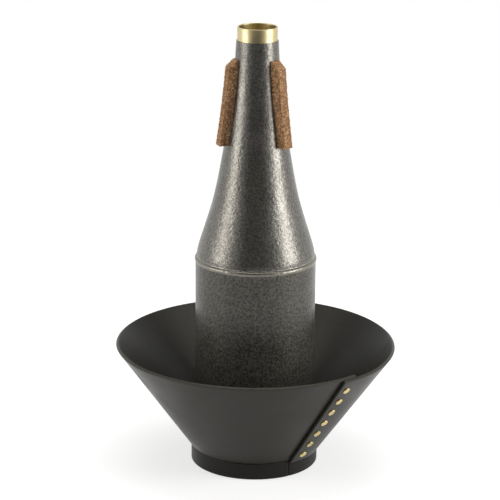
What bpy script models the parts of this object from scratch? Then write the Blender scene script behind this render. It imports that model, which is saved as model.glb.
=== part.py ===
"""Trombone cup mute: a spun body that wedges in the bell, and an adjustable cup that grips it.

Metres, +Z up. The origin is the centre of the flat base that the mute stands on, and the
narrow throat end points up. Azimuths are in degrees from the front (-Y) towards the right
(+X). The body stays still. The cup, its collar and its rivets slide up the body's straight
sleeve on a felt lining, and turn on it.
"""
import math

import bmesh
import bpy
from mathutils import Matrix, Vector

# Clearance that neighbouring pieces keep, where the real ones are pressed or glued together
GAP = 0.0003

# Body: the straight sleeve, which the cup slides on
SHELL_WALL = 0.0010
SLEEVE_RADIUS = 0.0407
SLEEVE_HEIGHT = 0.1455
LIP_PROUD = 0.0002
LIP_ROUND = 0.0007
LIP_DEPTH = 0.0022
FOOT_ROUND = 0.0004

# Body: the cone, a bottle-shaped shell whose skirt is glued inside the sleeve's top
CONE_LENGTH = 0.1481
NECK_RADIUS = 0.0140
NECK_TAPER = 0.034
NECK_REACH = 0.040
FLARE_RISE = 0.0395
FLARE_RADIUS = 0.0291
FLARE_TAPER = 0.275
FLARE_REACH_UP = 0.012
FLARE_REACH_DOWN = 0.019
SHOULDER_STEP = 0.0007
SHOULDER_REACH = 0.006
SHOULDER_DROP = 0.0006
SKIRT_DEPTH = 0.0120

# Body: the plate that closes the wide end
BASE_WALL = 0.0012
BASE_FLANGE = 0.0080
BASE_CORNER = 0.0014

# Body: the brass throat ring, plugged into the neck
RING_RADIUS = 0.01335
RING_WALL = 0.0010
RING_STAND = 0.0090
RING_PLUG = 0.0100
RING_EDGE = 0.00045

# Body: the cork strips that wedge the mute in the bell
CORK_COUNT = 3
CORK_AZIMUTH = 50.0
CORK_DROP = 0.0121
CORK_LENGTH = 0.0570
CORK_WIDTH = 0.0078
CORK_THICKNESS = 0.0060
CORK_TOP_EDGE = 0.0010
CORK_CHAMFER = 0.0050

# Cup: the felt lining and the collar around it
LINING_THICKNESS = 0.0010
LINING_HEIGHT = 0.0095
COLLAR_WALL = 0.0012
COLLAR_HEIGHT = 0.0110
COLLAR_SLIT = 0.0004
STANDING_CLEARANCE = 0.0005

# Cup: the sheet, rolled to a cone and riveted where its ends lap
SHEET = 0.0020
RIM_RADIUS = 0.0950
RIM_HEIGHT = 0.0842
SEAM_AZIMUTH = 41.5
OUTER_MARGIN = 0.0064
INNER_MARGIN = 0.0050
LAP_EASE = 65.0

# Cup: the rivets
RIVET_COUNT = 7
RIVET_TOP_MARGIN = 0.0105
RIVET_FOOT_MARGIN = 0.0078
RIVET_HEAD_RADIUS = 0.00265
RIVET_HEAD_HEIGHT = 0.0010
RIVET_HEAD_EDGE = 0.00015
RIVET_SHANK_RADIUS = 0.0012
RIVET_TAIL_RADIUS = 0.0020
RIVET_TAIL_HEIGHT = 0.0007

# Facets around a full turn
BODY_STEPS = 64
CUP_STEPS = 108
RING_STEPS = 48
RIVET_STEPS = 12
CURVE_STEPS = 8
ROUND_STEPS = 3
CORK_ROWS = 8

# Sizes that follow from those above
CONE_TOP = SLEEVE_HEIGHT + CONE_LENGTH
SLEEVE_BORE = SLEEVE_RADIUS - SHELL_WALL
SKIRT_RADIUS = SLEEVE_BORE - GAP
LINING_BORE = SLEEVE_RADIUS + GAP
COLLAR_BORE = LINING_BORE + LINING_THICKNESS + GAP
COLLAR_RADIUS = COLLAR_BORE + COLLAR_WALL
COLLAR_TOP = STANDING_CLEARANCE + COLLAR_HEIGHT
SHEET_FOOT = COLLAR_TOP + GAP
LAP_LIFT = SHEET + GAP

COLOURS = {
    "gunmetal_paint": ((0.060, 0.055, 0.048), 0.38, 0.65),
    "black_fibre": ((0.034, 0.032, 0.028), 0.55, 0.0),
    "brass": ((0.66, 0.50, 0.20), 0.22, 1.0),
    "cork": ((0.36, 0.19, 0.09), 0.85, 0.0),
    "felt": ((0.020, 0.018, 0.016), 0.95, 0.0),
}


def clear_scene():
    """Remove every object, so that the script starts from an empty scene."""
    for thing in list(bpy.data.objects):
        bpy.data.objects.remove(thing, do_unlink=True)


def new_collection(name):
    """Make a collection in the scene."""
    collection = bpy.data.collections.new(name)
    bpy.context.scene.collection.children.link(collection)
    return collection


def new_material(name):
    """Make a Principled material from the table of colours."""
    colour, roughness, metallic = COLOURS[name]
    material = bpy.data.materials.new(name)
    material.use_nodes = True
    shader = material.node_tree.nodes["Principled BSDF"]
    shader.inputs["Base Color"].default_value = (*colour, 1.0)
    shader.inputs["Roughness"].default_value = roughness
    shader.inputs["Metallic"].default_value = metallic
    return material


def add_object(name, mesh, collection, material):
    """Put a mesh into the scene as a named object with its own material."""
    thing = bpy.data.objects.new(name, mesh)
    collection.objects.link(thing)
    if material and not mesh.materials:
        mesh.materials.append(material)
    return thing


def arc(centre, radius, start, end, steps):
    """Points on an arc in the profile plane. Angles in degrees, 0 outwards and 90 up."""
    points = []
    for index in range(steps + 1):
        angle = math.radians(start + (end - start) * index / steps)
        points.append((centre[0] + radius * math.cos(angle), centre[1] + radius * math.sin(angle)))
    return points


def bezier(start, start_handle, end_handle, end, steps):
    """Points on a cubic curve in the profile plane, without the last one."""
    points = []
    for index in range(steps):
        t = index / steps
        s = 1.0 - t
        weights = (s * s * s, 3.0 * s * s * t, 3.0 * s * t * t, t * t * t)
        corners = (start, start_handle, end_handle, end)
        points.append(tuple(sum(w * c[axis] for w, c in zip(weights, corners)) for axis in (0, 1)))
    return points


def turned(name, profile, steps, collection, material, closed=True, wall=None):
    """Turn a profile of (radius, height) about Z. It runs down the outer side, top to bottom."""
    mesh = bpy.data.meshes.new(name)
    edges = [(index, index + 1) for index in range(len(profile) - 1)]
    if closed:
        edges.append((len(profile) - 1, 0))
    mesh.from_pydata([(radius, 0.0, height) for radius, height in profile], edges, [])
    thing = add_object(name, mesh, collection, material)
    screw = thing.modifiers.new("turn", "SCREW")
    screw.steps = steps
    screw.render_steps = steps
    screw.use_merge_vertices = True
    screw.merge_threshold = 0.00001
    screw.use_smooth_shade = True
    if wall:
        shell = thing.modifiers.new("wall", "SOLIDIFY")
        shell.thickness = wall
        shell.offset = -1.0
        shell.use_even_offset = True
    return thing


def cone_outline():
    """Outer side of the body's cone, from the neck down to the shoulder above the sleeve."""
    flare_height = SLEEVE_HEIGHT + FLARE_RISE
    shoulder = (SLEEVE_RADIUS - SHOULDER_STEP, SLEEVE_HEIGHT + GAP + SHOULDER_DROP)
    neck = (NECK_RADIUS, CONE_TOP)
    flare = (FLARE_RADIUS, flare_height)
    upper = bezier(
        neck,
        (neck[0] + NECK_TAPER * NECK_REACH, neck[1] - NECK_REACH),
        (flare[0] - FLARE_TAPER * FLARE_REACH_UP, flare[1] + FLARE_REACH_UP),
        flare,
        CURVE_STEPS,
    )
    lower = bezier(
        flare,
        (flare[0] + FLARE_TAPER * FLARE_REACH_DOWN, flare[1] - FLARE_REACH_DOWN),
        (shoulder[0], shoulder[1] + SHOULDER_REACH),
        shoulder,
        CURVE_STEPS,
    )
    return upper + lower + [shoulder]


def cone_radius(height):
    """Radius of the cone's outer side at a height."""
    outline = cone_outline()
    for (upper_radius, upper), (lower_radius, lower) in zip(outline, outline[1:]):
        if lower <= height <= upper:
            share = (height - lower) / (upper - lower)
            return lower_radius + (upper_radius - lower_radius) * share
    return outline[0][0] if height > outline[0][1] else outline[-1][0]


def make_body_cone(collection, material):
    """Bottle-shaped shell, open at the neck, with a skirt that tucks into the sleeve."""
    tuck = (SKIRT_RADIUS, SLEEVE_HEIGHT + GAP)
    skirt_end = (SKIRT_RADIUS, SLEEVE_HEIGHT - SKIRT_DEPTH)
    profile = cone_outline() + [tuck, skirt_end]
    return turned("body_cone", profile, BODY_STEPS, collection, material, closed=False, wall=SHELL_WALL)


def make_body_sleeve(collection, material):
    """Straight tube with a rolled lip at its top."""
    lip_centre = (SLEEVE_RADIUS + LIP_PROUD - LIP_ROUND, SLEEVE_HEIGHT - LIP_ROUND)
    lip = arc(lip_centre, LIP_ROUND, 90.0, 0.0, ROUND_STEPS)
    profile = [(SLEEVE_BORE, SLEEVE_HEIGHT)] + lip
    profile.append((SLEEVE_RADIUS + LIP_PROUD, SLEEVE_HEIGHT - LIP_DEPTH + LIP_ROUND))
    profile.append((SLEEVE_RADIUS, SLEEVE_HEIGHT - LIP_DEPTH))
    profile += arc((SLEEVE_RADIUS - FOOT_ROUND, FOOT_ROUND), FOOT_ROUND, 0.0, -90.0, ROUND_STEPS)
    profile.append((SLEEVE_BORE, 0.0))
    return turned("body_sleeve", profile, BODY_STEPS, collection, material)


def make_base_plate(collection, material):
    """Pressed plate with a flange that stands up inside the sleeve's wide end."""
    radius = SLEEVE_BORE - GAP
    flange_bore = radius - BASE_WALL
    inner_corner = BASE_CORNER - BASE_WALL / 2.0
    inner_centre = (flange_bore - inner_corner, BASE_WALL + inner_corner)
    profile = [(0.0, BASE_WALL)]
    profile += arc(inner_centre, inner_corner, -90.0, 0.0, ROUND_STEPS)
    profile += [(flange_bore, BASE_FLANGE), (radius, BASE_FLANGE)]
    profile += arc((radius - BASE_CORNER, BASE_CORNER), BASE_CORNER, 0.0, -90.0, ROUND_STEPS)
    profile.append((0.0, 0.0))
    return turned("base_plate", profile, BODY_STEPS, collection, material, closed=False)


def make_throat_ring(collection, material):
    """Brass tube that stands out of the neck, joggled in where it plugs into it."""
    plug_radius = NECK_RADIUS - SHELL_WALL - GAP
    top = CONE_TOP + RING_STAND
    bore = RING_RADIUS - RING_WALL
    step_height = CONE_TOP + GAP
    rim = arc((bore + RING_EDGE, top - RING_EDGE), RING_EDGE, 180.0, 90.0, ROUND_STEPS)
    rim += arc((RING_RADIUS - RING_EDGE, top - RING_EDGE), RING_EDGE, 90.0, 0.0, ROUND_STEPS)
    outer = [(RING_RADIUS, step_height), (plug_radius, step_height), (plug_radius, CONE_TOP - RING_PLUG)]
    plug_bore = plug_radius - RING_WALL
    inner = [(plug_bore, CONE_TOP - RING_PLUG), (plug_bore, step_height + RING_WALL)]
    inner.append((bore, step_height + RING_WALL + (bore - plug_bore)))
    return turned("throat_ring", rim + outer + inner, RING_STEPS, collection, material)


def azimuth_turn(azimuth):
    """Rotation that carries something built towards +X round to an azimuth."""
    return Matrix.Rotation(math.radians(azimuth - 90.0), 4, "Z")


def cork_outline():
    """Side view of a cork strip, radius against height, with its inner side inside the cone."""
    top = CONE_TOP - CORK_DROP
    bottom = top - CORK_LENGTH
    sunk = CORK_WIDTH / 2.0
    step = (top - CORK_CHAMFER - bottom) / CORK_ROWS
    heights = [bottom + step * index for index in range(CORK_ROWS + 1)]
    outer = [(cone_radius(height) + CORK_THICKNESS, height) for height in heights]
    outer.append((cone_radius(top) + CORK_TOP_EDGE, top))
    inner = [(cone_radius(height) - sunk, height) for height in reversed(heights)]
    inner.insert(0, (cone_radius(top) - sunk, top))
    return outer + inner


def make_cork_blank(name, collection, material):
    """Cork strip before its back is hollowed: the outline, as thick as the strip is wide."""
    curve = bpy.data.curves.new(name, "CURVE")
    curve.dimensions = "2D"
    curve.fill_mode = "BOTH"
    curve.extrude = CORK_WIDTH / 2.0
    outline = cork_outline()
    spline = curve.splines.new("POLY")
    spline.points.add(len(outline) - 1)
    for point, (radius, height) in zip(spline.points, outline):
        point.co = (radius, height, 0.0, 1.0)
    spline.use_cyclic_u = True
    source = bpy.data.objects.new(name, curve)
    collection.objects.link(source)
    source.rotation_euler = (math.pi / 2.0, 0.0, 0.0)
    bpy.context.view_layer.update()
    evaluated = source.evaluated_get(bpy.context.evaluated_depsgraph_get())
    mesh = bpy.data.meshes.new_from_object(evaluated)
    mesh.transform(source.matrix_world)
    bpy.data.objects.remove(source, do_unlink=True)
    shape = bmesh.new()
    shape.from_mesh(mesh)
    bmesh.ops.remove_doubles(shape, verts=shape.verts, dist=0.00001)
    bmesh.ops.recalc_face_normals(shape, faces=shape.faces)
    shape.to_mesh(mesh)
    shape.free()
    mesh.materials.clear()
    mesh.materials.append(material)
    return mesh


def make_cork_strips(collection, cutters, material):
    """Cork strips, evenly spaced around the neck, each hollowed to sit on the cone."""
    outline = [(radius + GAP, height) for radius, height in cone_outline()]
    profile = [(0.0, CONE_TOP + CORK_DROP)] + [(outline[0][0], CONE_TOP + CORK_DROP)] + outline
    profile.append((0.0, outline[-1][1]))
    seat = turned("cork_seat_cutter", profile, BODY_STEPS, cutters, None, closed=False)
    hide_cutter(seat)
    blank = make_cork_blank("cork_strip", collection, material)
    strips = []
    for index in range(CORK_COUNT):
        azimuth = CORK_AZIMUTH - 360.0 / CORK_COUNT * index
        strip = add_object("cork_strip_%d" % (index + 1), blank, collection, material)
        strip.matrix_world = azimuth_turn(azimuth)
        hollow = strip.modifiers.new("hollow_back", "BOOLEAN")
        hollow.operation = "DIFFERENCE"
        hollow.object = seat
        strips.append(strip)
    return strips


def hide_cutter(thing):
    """Mark a cutter, which is no part of the object."""
    thing.hide_render = True
    thing.display_type = "WIRE"


def roll_sheet(name, foot, rim, ends, lift, wall, steps, collection, material):
    """Roll a flat strip about Z into a cone or a cylinder, and give it its thickness.

    foot and rim are the (radius, height) of its outer side's two edges. ends(radius) gives the
    two azimuths where the strip starts and stops, and lift(azimuth) how far it stands off.
    """
    slant = Vector((rim[0] - foot[0], rim[1] - foot[1])).normalized()
    mesh = bpy.data.meshes.new(name)
    blank = bmesh.new()
    bmesh.ops.create_grid(blank, x_segments=steps, y_segments=1, size=1.0)
    for vertex in blank.verts:
        along = (vertex.co.x + 1.0) / 2.0
        up = (vertex.co.y + 1.0) / 2.0
        radius = foot[0] + (rim[0] - foot[0]) * up
        height = foot[1] + (rim[1] - foot[1]) * up
        start, stop = ends(radius)
        azimuth = start + (stop - start) * along
        raised = lift(azimuth)
        radius += raised * slant.y
        height -= raised * slant.x
        angle = math.radians(azimuth)
        vertex.co = (radius * math.sin(angle), -radius * math.cos(angle), height)
    blank.to_mesh(mesh)
    blank.free()
    thing = add_object(name, mesh, collection, material)
    mesh.shade_smooth()
    shell = thing.modifiers.new("wall", "SOLIDIFY")
    shell.thickness = wall
    shell.offset = -1.0
    shell.use_even_offset = True
    return thing


def cup_ends(radius):
    """Azimuths of the sheet's outer end and of its inner end, both parallel to the rivets."""
    outer = SEAM_AZIMUTH - math.degrees(OUTER_MARGIN / radius)
    inner = SEAM_AZIMUTH + 360.0 + math.degrees(INNER_MARGIN / radius)
    return outer, inner


def cup_lift(azimuth):
    """How far the sheet stands off the cone: one thickness over the lap, then easing down."""
    lap_end = SEAM_AZIMUTH + math.degrees(INNER_MARGIN / COLLAR_RADIUS)
    share = min(max((azimuth - lap_end) / LAP_EASE, 0.0), 1.0)
    return LAP_LIFT * (1.0 - share * share * (3.0 - 2.0 * share))


def rivet_frames():
    """Places of the rivets on the lap's outer side, each with its Z axis out of the sheet."""
    foot = Vector((COLLAR_RADIUS, 0.0, SHEET_FOOT))
    rim = Vector((RIM_RADIUS, 0.0, RIM_HEIGHT))
    slant = (rim - foot).normalized()
    outward = Vector((slant.z, 0.0, -slant.x))
    length = (rim - foot).length
    pitch = (length - RIVET_TOP_MARGIN - RIVET_FOOT_MARGIN) / (RIVET_COUNT - 1)
    frames = []
    for index in range(RIVET_COUNT):
        place = foot + slant * (RIVET_FOOT_MARGIN + pitch * index) + outward * LAP_LIFT
        axes = Matrix((slant, Vector((0.0, 1.0, 0.0)), outward)).transposed()
        axes.col[1] = outward.cross(slant)
        frames.append(azimuth_turn(SEAM_AZIMUTH) @ Matrix.Translation(place) @ axes.to_4x4())
    return frames


def make_cup_cone(collection, cutters, material):
    """Fibre sheet rolled to a cone, its ends lapped, with a hole for each rivet."""
    foot = (COLLAR_RADIUS, SHEET_FOOT)
    rim = (RIM_RADIUS, RIM_HEIGHT)
    sheet = roll_sheet(
        "cup_cone", foot, rim, cup_ends, cup_lift, SHEET, CUP_STEPS, collection, material
    )
    holes = bpy.data.meshes.new("rivet_holes")
    shape = bmesh.new()
    hole_radius = RIVET_SHANK_RADIUS + GAP
    stack = LAP_LIFT + SHEET
    for frame in rivet_frames():
        centre = frame @ Matrix.Translation((0.0, 0.0, -stack / 2.0))
        bmesh.ops.create_cone(
            shape, cap_ends=True, segments=RIVET_STEPS, radius1=hole_radius,
            radius2=hole_radius, depth=3.0 * stack, matrix=centre,
        )
    shape.to_mesh(holes)
    shape.free()
    drill = add_object("rivet_hole_cutter", holes, cutters, None)
    hide_cutter(drill)
    pierce = sheet.modifiers.new("rivet_holes", "BOOLEAN")
    pierce.operation = "DIFFERENCE"
    pierce.object = drill
    return sheet


def make_rivets(collection, material):
    """Domed rivets, their tails clinched on the inside of the lap."""
    head_seat = GAP
    tail_seat = -(LAP_LIFT + SHEET) - GAP
    dome_height = RIVET_HEAD_HEIGHT - RIVET_HEAD_EDGE
    profile = [(0.0, head_seat + RIVET_HEAD_HEIGHT)]
    for radius, height in arc((0.0, 0.0), 1.0, 90.0, 0.0, ROUND_STEPS)[1:]:
        profile.append((RIVET_HEAD_RADIUS * radius, head_seat + RIVET_HEAD_EDGE + dome_height * height))
    profile += [
        (RIVET_HEAD_RADIUS, head_seat),
        (RIVET_SHANK_RADIUS, head_seat),
        (RIVET_SHANK_RADIUS, tail_seat),
        (RIVET_TAIL_RADIUS, tail_seat),
        (RIVET_TAIL_RADIUS, tail_seat - RIVET_TAIL_HEIGHT / 2.0),
        (RIVET_TAIL_RADIUS - RIVET_TAIL_HEIGHT / 2.0, tail_seat - RIVET_TAIL_HEIGHT),
        (0.0, tail_seat - RIVET_TAIL_HEIGHT),
    ]
    rivets = []
    for index, frame in enumerate(rivet_frames()):
        name = "seam_rivet_%d" % (index + 1)
        rivet = turned(name, profile, RIVET_STEPS, collection, material, closed=False)
        rivet.matrix_world = frame
        rivets.append(rivet)
    return rivets


def make_collar(collection, material):
    """Fibre strip bent to a band, its ends meeting in line with the cup's seam."""
    half_slit = math.degrees(COLLAR_SLIT / 2.0 / COLLAR_RADIUS)
    joint = SEAM_AZIMUTH - math.degrees(OUTER_MARGIN / COLLAR_RADIUS)
    return roll_sheet(
        "cup_collar",
        (COLLAR_RADIUS, STANDING_CLEARANCE),
        (COLLAR_RADIUS, COLLAR_TOP),
        lambda radius: (joint + half_slit, joint + 360.0 - half_slit),
        lambda azimuth: 0.0,
        COLLAR_WALL,
        BODY_STEPS,
        collection,
        material,
    )


def make_grip_lining(collection, material):
    """Felt band inside the collar, whose friction holds the cup on the sleeve."""
    outer = LINING_BORE + LINING_THICKNESS
    low = COLLAR_TOP - COLLAR_HEIGHT / 2.0 - LINING_HEIGHT / 2.0
    high = low + LINING_HEIGHT
    profile = [(LINING_BORE, high), (outer, high), (outer, low), (LINING_BORE, low)]
    return turned("grip_lining", profile, BODY_STEPS, collection, material)


def carry(parent_name, children, collection):
    """Parent the pieces of one moving body to an empty on the sleeve's axis."""
    parent = bpy.data.objects.new(parent_name, None)
    parent.empty_display_size = SLEEVE_RADIUS
    collection.objects.link(parent)
    for child in children:
        child.parent = parent
    return parent


def make_mute():
    """Build every piece of the mute."""
    clear_scene()
    parts = new_collection("trombone_cup_mute")
    cutters = new_collection("cutters")
    paint = new_material("gunmetal_paint")
    fibre = new_material("black_fibre")
    brass = new_material("brass")
    cork = new_material("cork")
    felt = new_material("felt")

    body = [
        make_throat_ring(parts, brass),
        make_body_cone(parts, paint),
        make_body_sleeve(parts, paint),
        make_base_plate(parts, paint),
    ]
    body += make_cork_strips(parts, cutters, cork)
    carry("mute_body", body, parts)

    lining = make_grip_lining(parts, felt)
    slider = carry("grip_slide_axis", [lining], parts)

    cup = [make_cup_cone(parts, cutters, fibre), make_collar(parts, fibre)]
    cup += make_rivets(parts, brass)
    swivel = carry("cup_swivel_axis", cup, parts)
    swivel.parent = slider


make_mute()
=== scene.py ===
# %% [markdown]
# # A trombone cup mute
# The mute is a hollow, bottle-shaped body with a brass throat and three cork strips, and a cup
# rolled from black fibre sheet that slides on the body's straight sleeve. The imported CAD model
# gives every size and place. This script dresses it: each code cell makes one thing and prints
# what it made, and the cell before it says what the real thing is and why it is made this way.

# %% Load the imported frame
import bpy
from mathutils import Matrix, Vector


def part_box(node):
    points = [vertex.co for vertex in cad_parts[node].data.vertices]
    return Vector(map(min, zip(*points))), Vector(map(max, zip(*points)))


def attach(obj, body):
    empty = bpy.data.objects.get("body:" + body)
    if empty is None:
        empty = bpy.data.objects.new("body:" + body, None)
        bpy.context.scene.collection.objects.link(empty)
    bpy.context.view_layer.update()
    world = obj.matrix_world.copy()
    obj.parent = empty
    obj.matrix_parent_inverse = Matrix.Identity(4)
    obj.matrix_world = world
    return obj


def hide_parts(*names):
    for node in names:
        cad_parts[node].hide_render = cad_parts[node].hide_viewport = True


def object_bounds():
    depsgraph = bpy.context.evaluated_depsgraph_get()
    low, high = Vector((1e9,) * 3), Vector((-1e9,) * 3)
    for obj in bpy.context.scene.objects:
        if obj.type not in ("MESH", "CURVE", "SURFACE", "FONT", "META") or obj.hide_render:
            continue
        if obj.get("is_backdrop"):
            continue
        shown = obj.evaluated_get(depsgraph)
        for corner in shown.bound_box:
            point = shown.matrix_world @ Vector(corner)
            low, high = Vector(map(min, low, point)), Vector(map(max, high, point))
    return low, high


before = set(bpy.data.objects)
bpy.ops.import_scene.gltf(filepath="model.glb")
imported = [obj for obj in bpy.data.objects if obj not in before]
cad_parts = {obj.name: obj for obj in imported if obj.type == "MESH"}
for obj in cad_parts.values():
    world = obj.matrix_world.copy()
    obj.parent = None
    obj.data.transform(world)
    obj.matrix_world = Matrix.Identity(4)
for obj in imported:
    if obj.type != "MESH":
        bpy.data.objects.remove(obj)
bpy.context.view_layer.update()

# %% Import what the script uses
import math

import bmesh
import bpy
import numpy as np
from mathutils import Matrix, Vector, kdtree, noise

# %% [markdown]
# ## Sizes from the frame
# The CAD nodes stand where the real pieces stand, but their walls are cut into few facets. Two
# helpers read what the fine pieces need from them: the points of a node, and the profile of a
# turned node. Azimuths run from the front (-Y) towards the right (+X), as on the CAD model.

# %% Read points and profiles
def cad_points(node):
    """The vertices of a CAD node, as rows of x, y, z."""
    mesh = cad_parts[node].data
    flat = np.empty(len(mesh.vertices) * 3, np.float32)
    mesh.vertices.foreach_get("co", flat)
    return flat.reshape(-1, 3).astype(float)


def azimuth_of(points):
    """Azimuth in radians of points, from -Y towards +X."""
    return np.arctan2(points[..., 0], -points[..., 1])


def outer_rows(node):
    """(radius, height) of a turned node's outer side, top to bottom, from faces that look out."""
    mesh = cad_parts[node].data
    rows = {}
    for face in mesh.polygons:
        centre = face.center
        distance = math.hypot(centre.x, centre.y)
        if face.normal.x * centre.x + face.normal.y * centre.y > 0.3 * distance:
            for index in face.vertices:
                x, y, z = mesh.vertices[index].co
                height = round(z, 5)
                rows[height] = max(math.hypot(x, y), rows.get(height, 0.0))
    return [(rows[height], height) for height in sorted(rows, reverse=True)]


def reaches(node):
    """The smallest and the largest distance of a node's points from the axis."""
    distances = np.hypot(*cad_points(node)[:, :2].T)
    return distances.min(), distances.max()


SHOULDER_GAP = 0.0005
SLEEVE_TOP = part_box("body_sleeve")[1].z
SLEEVE_BORE = reaches("body_sleeve")[0]
SLEEVE_RADIUS = [radius for radius, height in outer_rows("body_sleeve") if height < SLEEVE_TOP / 2][0]
cone_rows = [row for row in outer_rows("body_cone") if row[1] > SLEEVE_TOP + SHOULDER_GAP]
NECK_RADIUS, CONE_TOP = cone_rows[0]
print("Sleeve: radius %.4f, bore %.4f, top %.4f" % (SLEEVE_RADIUS, SLEEVE_BORE, SLEEVE_TOP))
print("Cone: %d rows from %.4f down to %.4f" % (len(cone_rows), cone_rows[0][1], cone_rows[-1][1]))

# %% [markdown]
# ## Camera
# The view is that of a long lens about 1.4 m away, a little above the mute. Its place and tilt
# were fitted to the mute's own round edges, so the frame needs no shift.

# %% Set up the camera
PICTURE_SIDE = 500
FOCAL_PIXELS = 2068.1
SENSOR = 36.0
CAMERA_PLACE = Vector((0.0, -1.3398, 0.5492))
CAMERA_PITCH = math.radians(16.605)
CAMERA_YAW = math.radians(0.165)
CAMERA_ROLL = math.radians(0.4416)

camera_data = bpy.data.cameras.new("studio_camera")
camera_data.sensor_width = SENSOR
camera_data.lens = FOCAL_PIXELS * SENSOR / PICTURE_SIDE
camera = bpy.data.objects.new("studio_camera", camera_data)
bpy.context.scene.collection.objects.link(camera)
turn = Matrix.Rotation(CAMERA_YAW, 4, "Z")
tilt = Matrix.Rotation(math.pi / 2 - CAMERA_PITCH, 4, "X")
lean = Matrix.Rotation(CAMERA_ROLL, 4, "Z")
camera.matrix_world = Matrix.Translation(CAMERA_PLACE) @ turn @ tilt @ lean
bpy.context.scene.camera = camera
bpy.context.scene.view_settings.view_transform = "Standard"
print("Lens %.1f mm, %.2f m from the axis" % (camera_data.lens, CAMERA_PLACE.xy.length))

# %% [markdown]
# ## Node helpers
# Materials, groups and geometry are all node trees. These helpers add a node with its settings
# and its inputs in one line, where an input takes either a plain value or another node's socket.
# A tree made this way can be read from top to bottom like a sum.

# %% Helpers for node trees
def fill(tree, node, inputs):
    """Set a node's inputs, by name or number, to plain values or to other nodes' sockets."""
    for key, value in inputs.items():
        if isinstance(value, bpy.types.NodeSocket):
            tree.links.new(value, node.inputs[key])
        else:
            node.inputs[key].default_value = value
    return node


def put(tree, kind, inputs=None, **settings):
    """Add a node to a tree, with its settings and its inputs."""
    node = tree.nodes.new(kind)
    for name, value in settings.items():
        setattr(node, name, value)
    return fill(tree, node, inputs or {})


def calc(tree, operation, *values):
    """A Math node on one to three values or sockets. Gives its output socket."""
    return put(tree, "ShaderNodeMath", dict(enumerate(values)), operation=operation).outputs[0]


def ramp(tree, value, low, high, to_low=0.0, to_high=1.0):
    """A value taken smoothly from one range to another and held at its ends."""
    inputs = {"Value": value, "From Min": low, "From Max": high, "To Min": to_low, "To Max": to_high}
    return put(tree, "ShaderNodeMapRange", inputs, interpolation_type="SMOOTHSTEP").outputs[0]


def blend_colours(tree, factor, first, second):
    """Mix two colours by a factor. Gives the output socket."""
    return put(tree, "ShaderNodeMix", {0: factor, 6: first, 7: second}, data_type="RGBA").outputs[2]


def new_group(name, kind, inputs, outputs):
    """A node group with named sockets. Gives the group, its inner inputs and its inner outputs."""
    group = bpy.data.node_groups.new(name, kind)
    for label, socket, value in inputs:
        item = group.interface.new_socket(label, in_out="INPUT", socket_type=socket)
        if value is not None:
            item.default_value = value
    for label, socket in outputs:
        group.interface.new_socket(label, in_out="OUTPUT", socket_type=socket)
    inner = group.nodes.new("NodeGroupInput")
    outer = group.nodes.new("NodeGroupOutput")
    return group, inner.outputs, outer.inputs


def use_group(tree, group, place, **values):
    """Place a shader group in a material with its own values. Gives its output sockets."""
    return put(tree, "ShaderNodeGroup", {"Vector": place, **values}, node_tree=group).outputs


def new_material(name):
    """A plain material. Gives it, its tree, its Principled shader and Object coordinates."""
    material = bpy.data.materials.new(name)
    material.use_nodes = True
    tree = material.node_tree
    shader = tree.nodes["Principled BSDF"]
    place = put(tree, "ShaderNodeTexCoord").outputs["Object"]
    return material, tree, shader, place


def roughen(tree, shader, height, depth):
    """Feed a height from 0 to 1 to the shader's normal, as relief of a real depth in metres."""
    relief = put(tree, "ShaderNodeBump", {"Strength": 1.0, "Distance": depth, "Height": height})
    tree.links.new(relief.outputs["Normal"], shader.inputs["Normal"])


# %% [markdown]
# ## Stage
# The mute stands on a pale floor against white. The floor is a disc that fades out before the
# room around it begins, so no edge shows from any side. What the camera sees of it is mostly
# plain white with part of the real light on it, which keeps a soft shadow. Light that bounces
# up from it is that of a light grey floor, darker under the cup as it should be.

# %% Make the floor
FLOOR_REACH = 0.80
FLOOR_FADE_START = 0.50
FLOOR_FADE_END = FLOOR_REACH * 0.98
FLOOR_GLOW = 0.63
FLOOR_COLOUR = (0.56, 0.56, 0.56, 1.0)
WHITE = (1.0, 1.0, 1.0, 1.0)


def make_floor_material():
    """Pale floor: real light for the object, mostly plain white for the eye, clear at its edge."""
    material = bpy.data.materials.new("studio_floor")
    material.use_nodes = True
    tree = material.node_tree
    tree.nodes.clear()
    coordinates = put(tree, "ShaderNodeTexCoord").outputs["Object"]
    radius = put(tree, "ShaderNodeVectorMath", {0: coordinates}, operation="LENGTH").outputs["Value"]
    real = put(tree, "ShaderNodeBsdfDiffuse", {"Color": FLOOR_COLOUR}).outputs[0]
    path = put(tree, "ShaderNodeLightPath")
    mirrored = calc(tree, "MAXIMUM", path.outputs["Is Glossy Ray"], path.outputs["Is Transmission Ray"])
    seen = calc(tree, "MAXIMUM", path.outputs["Is Camera Ray"], mirrored)
    strength = calc(tree, "MULTIPLY", seen, FLOOR_GLOW)
    glow = put(tree, "ShaderNodeEmission", {"Color": WHITE, "Strength": strength}).outputs[0]
    clear = put(tree, "ShaderNodeBsdfTransparent").outputs[0]
    shown = put(tree, "ShaderNodeAddShader", {0: real, 1: glow}).outputs[0]
    edge = ramp(tree, radius, FLOOR_FADE_START, FLOOR_FADE_END)
    below = put(tree, "ShaderNodeNewGeometry").outputs["Backfacing"]
    gone = calc(tree, "MAXIMUM", edge, below)
    surface = put(tree, "ShaderNodeMixShader", {0: gone, 1: shown, 2: clear}).outputs[0]
    put(tree, "ShaderNodeOutputMaterial", {"Surface": surface})
    return material


floor_mesh = bpy.data.meshes.new("studio_floor")
disc = bmesh.new()
bmesh.ops.create_circle(disc, cap_ends=True, segments=96, radius=FLOOR_REACH)
disc.to_mesh(floor_mesh)
disc.free()
floor = bpy.data.objects.new("studio_floor", floor_mesh)
bpy.context.scene.collection.objects.link(floor)
floor.data.materials.append(make_floor_material())
floor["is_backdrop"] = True
print("Floor:", FLOOR_REACH, "m in radius, normal", floor_mesh.polygons[0].normal[:])

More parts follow.
